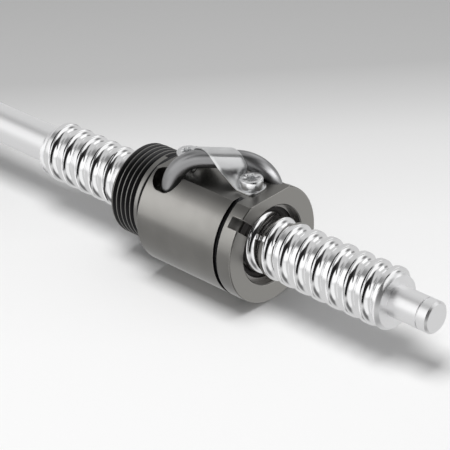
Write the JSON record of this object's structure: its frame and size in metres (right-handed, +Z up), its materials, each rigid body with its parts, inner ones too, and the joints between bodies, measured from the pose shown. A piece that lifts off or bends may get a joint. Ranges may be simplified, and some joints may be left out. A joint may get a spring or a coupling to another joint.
{
  "type": "ball screw nut",
  "caption": "Ball screw and flange-thread ball nut with an external return tube, clamp strap, wipers and recirculating balls; turns rotation into straight travel.",
  "frame": {"origin": "on the screw's axis, in the plane of the shoulder that the flange seats on, behind which the nut's threaded tail stands", "axes": "+X along the screw towards its turned journal, +Z up out of the nut's flat, +Y to the side that completes the right-handed frame"},
  "size_m": [0.1798, 0.03, 0.0357],
  "materials": {
    "nut_steel": "hardened, ground satin steel with a black oxide tail thread",
    "screw_steel": "polished hardened steel",
    "tube_steel": "pressed steel, smooth satin",
    "strap_zinc": "bright zinc on sheet steel",
    "fastener_zinc": "bright zinc on machined steel",
    "ball_steel": "polished bearing steel",
    "wiper_felt": "dense dark felt, oiled",
    "ring_steel": "spring steel"
  },
  "bodies": {
    "nut": {"nut_body": "nut_steel", "return_tube_near_half": "tube_steel", "return_tube_far_half": "tube_steel", "clamp_strap": "strap_zinc", "clamp_screw_front": "fastener_zinc", "clamp_screw_rear": "fastener_zinc", "loaded_balls_turn_1": "ball_steel", "loaded_balls_turn_2": "ball_steel", "loaded_balls_turn_3": "ball_steel", "loaded_balls_turn_4": "ball_steel", "return_balls": "ball_steel", "wiper_ring_front": "ring_steel", "wiper_ring_rear": "ring_steel"},
    "wipers": {"wiper_front": "wiper_felt", "wiper_rear": "wiper_felt"},
    "screw": {"screw_shaft": "screw_steel"}
  },
  "joints": [
    {"name": "screw_turn", "type": "hinge", "parent": "nut", "child": "wipers", "pos_m": [0, 0, 0], "axis": [1, 0, 0], "range_deg": [-2520, 1980]},
    {"name": "screw_travel", "type": "slide", "parent": "wipers", "child": "screw", "axis": [1, 0, 0], "range_m": [-0.03556, 0.02794]}
  ],
  "couplings": [
    {"joint": "screw_turn", "follows": "screw_travel", "rad_per_m": 1236.8}
  ]
}
